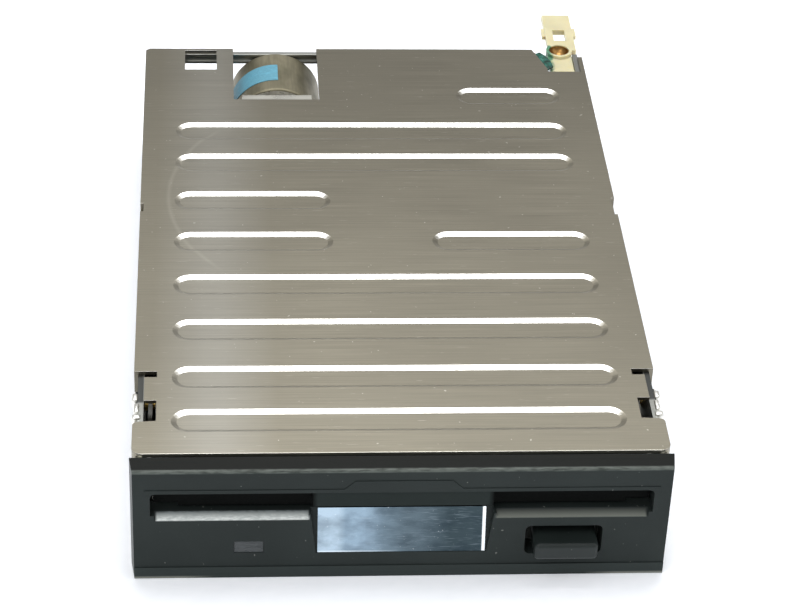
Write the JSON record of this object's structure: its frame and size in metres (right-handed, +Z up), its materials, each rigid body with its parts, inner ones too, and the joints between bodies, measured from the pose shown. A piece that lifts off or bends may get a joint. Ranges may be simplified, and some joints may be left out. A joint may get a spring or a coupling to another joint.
{
  "type": "external floppy disk drive",
  "caption": "Bare 3.5 inch floppy disk drive: ribbed steel cover, black bezel with slot, flap and eject button, motor can and nylon lug at the rear.",
  "frame": {"origin": "middle of the base: the plane of the lower edges, midway across and midway between the button's front and the lug's rear end", "axes": "+X to the right seen from the bezel, +Y from the bezel to the connectors, +Z up"},
  "size_m": [0.1016, 0.1754, 0.0256],
  "materials": {
    "cover_steel": "rolled sheet, fine grain across, lightly scratched",
    "frame_steel": "zinc plated sheet",
    "bezel_plastic": "fine charcoal grain",
    "button_plastic": "fine charcoal grain",
    "polished_steel": "bright, worn and scuffed",
    "lens": "smoked",
    "lamp": "tinted",
    "nylon": "cream, slightly translucent",
    "bronze": "dull bronze",
    "lacquer": "wet looking green",
    "can_steel": "grey with a warm tint",
    "bracket_steel": "bright zinc",
    "label": "blue, bare",
    "board": "green lacquered board",
    "chip": "moulded black",
    "parts": "small tan parts",
    "contacts": "gold coloured",
    "inlet_plastic": "off white",
    "magnet": "dark ferrite",
    "copper": "enamelled copper",
    "rod_steel": "ground",
    "spring_steel": "drawn wire",
    "carriage_plastic": "filled plastic, dark",
    "head": "polished",
    "screw_steel": "zinc plated",
    "flex": "amber film",
    "switch_plastic": "black",
    "plunger_plastic": "white"
  },
  "bodies": {
    "frame": {"front_bezel": "bezel_plastic", "finger_plate": "polished_steel", "flap_rod": "rod_steel", "flap_spring": "spring_steel", "led_lens": "lens", "activity_led": "lamp", "chassis": "frame_steel", "top_cover": "cover_steel", "rear_crossbar": "frame_steel", "eject_springs": "spring_steel", "spring_posts": "screw_steel", "spindle_bearing": "contacts", "motor_board": "board", "stator_coils": "copper", "sensor_switches": "switch_plastic", "guide_rods": "rod_steel", "rod_clamps": "frame_steel", "stepper_can": "can_steel", "stepper_bracket": "bracket_steel", "stepper_coils": "copper", "stepper_label": "label", "screw_bearing": "plunger_plastic", "track_sensor": "switch_plastic", "main_board": "board", "board_screws": "screw_steel", "board_spacers": "screw_steel", "board_chips": "chip", "board_parts": "parts", "signal_header": "chip", "power_inlet": "inlet_plastic", "connector_pins": "contacts", "stepper_lead": "inlet_plastic", "head_flex": "flex", "nylon_lug": "nylon", "lug_screw": "bronze", "lock_lacquer": "lacquer", "motor_screws": "screw_steel"},
    "flap": {"door_flap": "bezel_plastic"},
    "ejector": {"eject_button": "button_plastic", "slide_plate": "frame_steel"},
    "carrier": {"disk_carrier": "frame_steel", "carrier_pins": "rod_steel", "lever_rivet": "screw_steel", "lever_spring": "spring_steel"},
    "lever": {"shutter_lever": "frame_steel"},
    "carriage": {"head_carriage": "carriage_plastic", "lower_head": "head", "arm_pin": "rod_steel", "track_flag": "carriage_plastic"},
    "arm": {"upper_arm": "carriage_plastic", "upper_head": "head", "arm_spring": "spring_steel"},
    "lead": {"lead_screw": "rod_steel", "stepper_magnet": "magnet"},
    "spindle": {"spindle_hub": "polished_steel", "spindle_shaft": "rod_steel", "drive_pin": "screw_steel", "spindle_rotor": "can_steel"},
    "protect_key": {"write_protect_plunger": "plunger_plastic"},
    "disk_key": {"disk_present_plunger": "plunger_plastic"}
  },
  "joints": [
    {"name": "flap_swing", "type": "hinge", "parent": "frame", "child": "flap", "pos_m": [0, -0.08155, 0.0228], "axis": [1, 0, 0], "range_deg": [0, 86], "stiffness_Nm_per_rad": 0.0015, "springref_deg": -20.05},
    {"name": "eject_slide", "type": "slide", "parent": "frame", "child": "ejector", "axis": [0, 1, 0], "range_m": [-0.0055, 0.0005], "deforming": ["eject_springs"]},
    {"name": "carrier_lift", "type": "slide", "parent": "frame", "child": "carrier", "axis": [0, 0, 1], "range_m": [-0.003, 0.00028]},
    {"name": "lever_swing", "type": "hinge", "parent": "carrier", "child": "lever", "pos_m": [0.042, 0.00535, 0.0212], "axis": [0, 0, 1], "range_deg": [-40, 0], "stiffness_Nm_per_rad": 0.001, "springref_deg": 17.19},
    {"name": "head_travel", "type": "slide", "parent": "frame", "child": "carriage", "axis": [0, 1, 0], "range_m": [-0.0148, 0]},
    {"name": "arm_lift", "type": "hinge", "parent": "carriage", "child": "arm", "pos_m": [0, 0.03435, 0.0209], "axis": [1, 0, 0], "range_deg": [-0.8, 8]},
    {"name": "screw_turn", "type": "hinge", "parent": "frame", "child": "lead", "pos_m": [-0.0207, 0.03235, 0.015], "axis": [0, 1, 0], "range_deg": [-1425, 0]},
    {"name": "spindle_spin", "type": "hinge", "parent": "frame", "child": "spindle", "pos_m": [0, -0.03665, 0.008], "axis": [0, 0, 1], "continuous": true},
    {"name": "protect_press", "type": "slide", "parent": "frame", "child": "protect_key", "axis": [0, 0, 1], "range_m": [-0.0015, 0], "stiffness_N_per_m": 60, "springref_m": 0.0005},
    {"name": "disk_press", "type": "slide", "parent": "frame", "child": "disk_key", "axis": [0, 0, 1], "range_m": [-0.0015, 0], "stiffness_N_per_m": 60, "springref_m": 0.0005}
  ],
  "couplings": [
    {"joint": "carrier_lift", "follows": "eject_slide", "ratio": 0.545},
    {"joint": "arm_lift", "follows": "eject_slide", "rad_per_m": -25.3},
    {"joint": "screw_turn", "follows": "head_travel", "rad_per_m": 1675.5}
  ]
}
